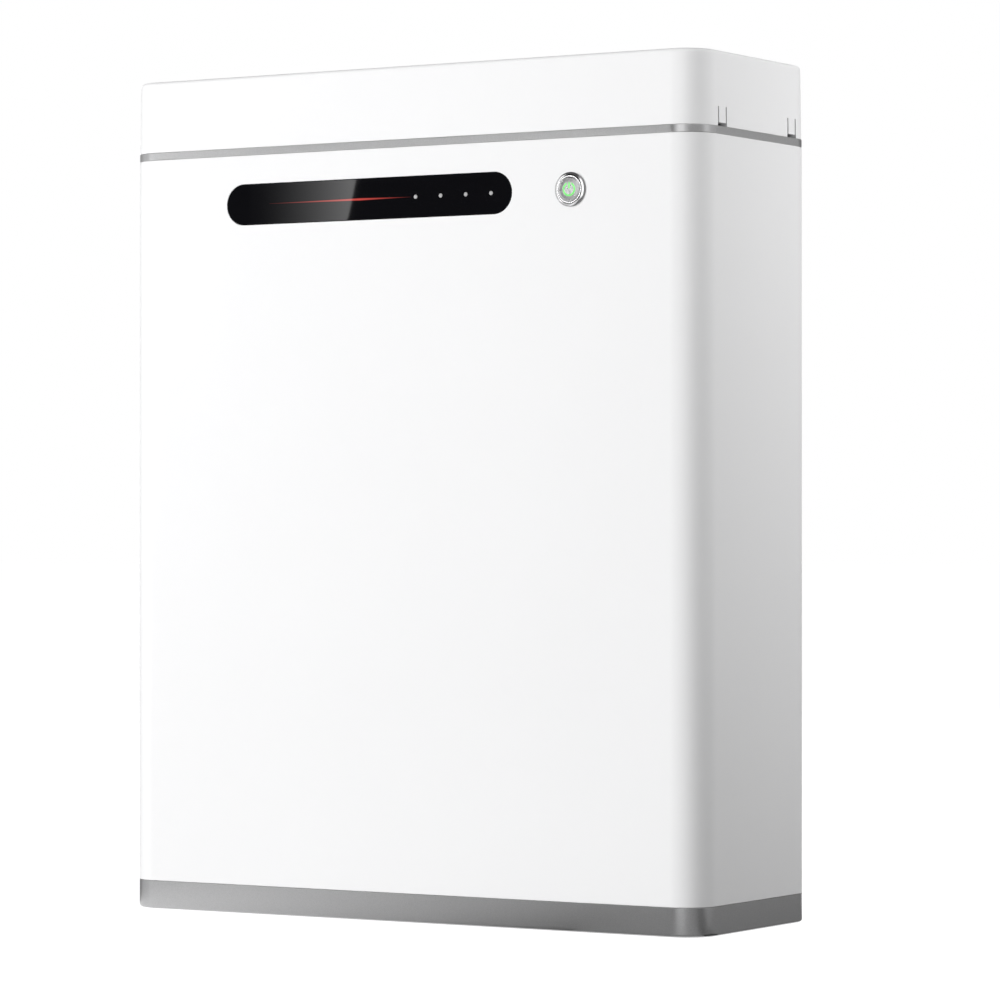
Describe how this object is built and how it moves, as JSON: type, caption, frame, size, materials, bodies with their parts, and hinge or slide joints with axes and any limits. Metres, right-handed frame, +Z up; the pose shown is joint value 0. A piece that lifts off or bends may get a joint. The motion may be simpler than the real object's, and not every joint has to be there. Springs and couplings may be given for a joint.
{
  "type": "wall battery unit",
  "caption": "Slim upright battery cabinet that hangs on a wall bracket: white case on a grey base, lift-off lid over the terminals, dark display strip and a round power switch.",
  "frame": {"origin": "on the floor under the middle of the unit, from its wall plane to the face of its button", "axes": "+X to the right seen from the front, +Y towards the wall, +Z up"},
  "size_m": [0.445, 0.1684, 0.56],
  "materials": {
    "case_white": "white powder coat with a fine orange-peel grain",
    "lid_white": "white moulded plastic, fine matt grain",
    "base_grey": "grey metallic lacquer on a cast base",
    "band_grey": "grey metallic lacquer",
    "zinc_plate": "zinc plated sheet steel",
    "steel": "bright steel",
    "stainless": "turned stainless steel",
    "foam": "black foam rubber",
    "grommet_rubber": "black moulded rubber",
    "cable_black": "black cable sheath",
    "cable_red": "red cable sheath",
    "ribbon_grey": "light grey cable sheath",
    "cell_can": "aluminium can in blue film",
    "bare_aluminium": "milled aluminium",
    "copper": "bare copper bar",
    "brass": "turned brass",
    "cell_sheet": "cream insulating sheet",
    "grey_pad": "grey foam pad",
    "clear_cover": "pale translucent plastic sheet",
    "board_green": "green solder mask on a circuit board",
    "chip_black": "black moulded package",
    "plug_cream": "cream moulded plastic",
    "breaker_grey": "pale grey moulded plastic",
    "toggle_black": "black moulded plastic",
    "insulator_red": "red moulded plastic",
    "insulator_black": "black moulded plastic",
    "window_black": "black gloss plastic",
    "dot_grey": "grey diffusing plastic, unlit",
    "line_red": "red diffusing plastic",
    "led_body": "pale yellow lamp body",
    "bracket_black": "black moulded plastic",
    "symbol_green": "green lit plastic"
  },
  "bodies": {
    "case": {"body_shell": "case_white", "back_panel": "case_white", "panel_gasket": "foam", "case_screws": "zinc_plate", "base_tray": "base_grey", "base_screws": "zinc_plate", "chassis_floor": "zinc_plate", "trim_band": "band_grey", "terminal_deck": "zinc_plate", "deck_gasket": "foam", "lid_catches": "steel", "hanger_rail": "zinc_plate", "rail_screws": "steel", "wall_spacers": "grommet_rubber", "battery_cells": "cell_can", "cell_terminals": "bare_aluminium", "cell_busbars": "copper", "cell_spacers": "cell_sheet", "cell_pads": "grey_pad", "end_plates": "bare_aluminium", "module_screws": "zinc_plate", "busbar_cover": "clear_cover", "pack_busbars": "copper", "bms_shelf": "zinc_plate", "bms_board": "board_green", "bms_standoffs": "brass", "bms_mosfets": "chip_black", "bms_heatsink": "bare_aluminium", "bms_connectors": "plug_cream", "sense_harness": "cable_red", "breaker_stand": "zinc_plate", "breaker_body": "breaker_grey", "negative_cable": "cable_black", "bms_cable": "cable_black", "positive_lead": "cable_red", "negative_lead": "cable_black", "positive_insulator": "insulator_red", "negative_insulator": "insulator_black", "terminal_studs": "brass", "earth_stud": "steel", "terminal_nuts": "brass", "comms_board": "board_green", "comms_ports": "steel", "display_window": "window_black", "display_gasket": "foam", "display_bracket": "bracket_black", "display_board": "board_green", "indicator_leds": "led_body", "charge_dots": "dot_grey", "status_line": "line_red", "display_cable": "ribbon_grey", "switch_body": "stainless", "switch_nut": "stainless", "switch_spring": "steel"},
    "lid": {"top_lid": "lid_white", "cable_grommet": "grommet_rubber"},
    "power_button": {"switch_button": "stainless", "switch_symbol": "symbol_green"},
    "breaker_lever": {"breaker_toggle": "toggle_black"},
    "wall_plate": {"wall_bracket": "zinc_plate"}
  },
  "joints": [
    {"name": "lid_lift", "type": "slide", "parent": "case", "child": "lid", "axis": [0, 0, 1], "range_m": [0, 0.08]},
    {"name": "button_press", "type": "slide", "parent": "case", "child": "power_button", "axis": [0, 1, 0], "range_m": [0, 0.0022], "stiffness_N_per_m": 1200, "springref_m": -0.0015, "deforming": ["switch_spring"]},
    {"name": "breaker_throw", "type": "hinge", "parent": "case", "child": "breaker_lever", "pos_m": [-0.1565, -0.00485, 0.5082], "axis": [1, 0, 0], "range_deg": [0, 80]},
    {"name": "bracket_lift", "type": "slide", "parent": "case", "child": "wall_plate", "axis": [0, 0, -1], "range_m": [0, 0.016]}
  ]
}
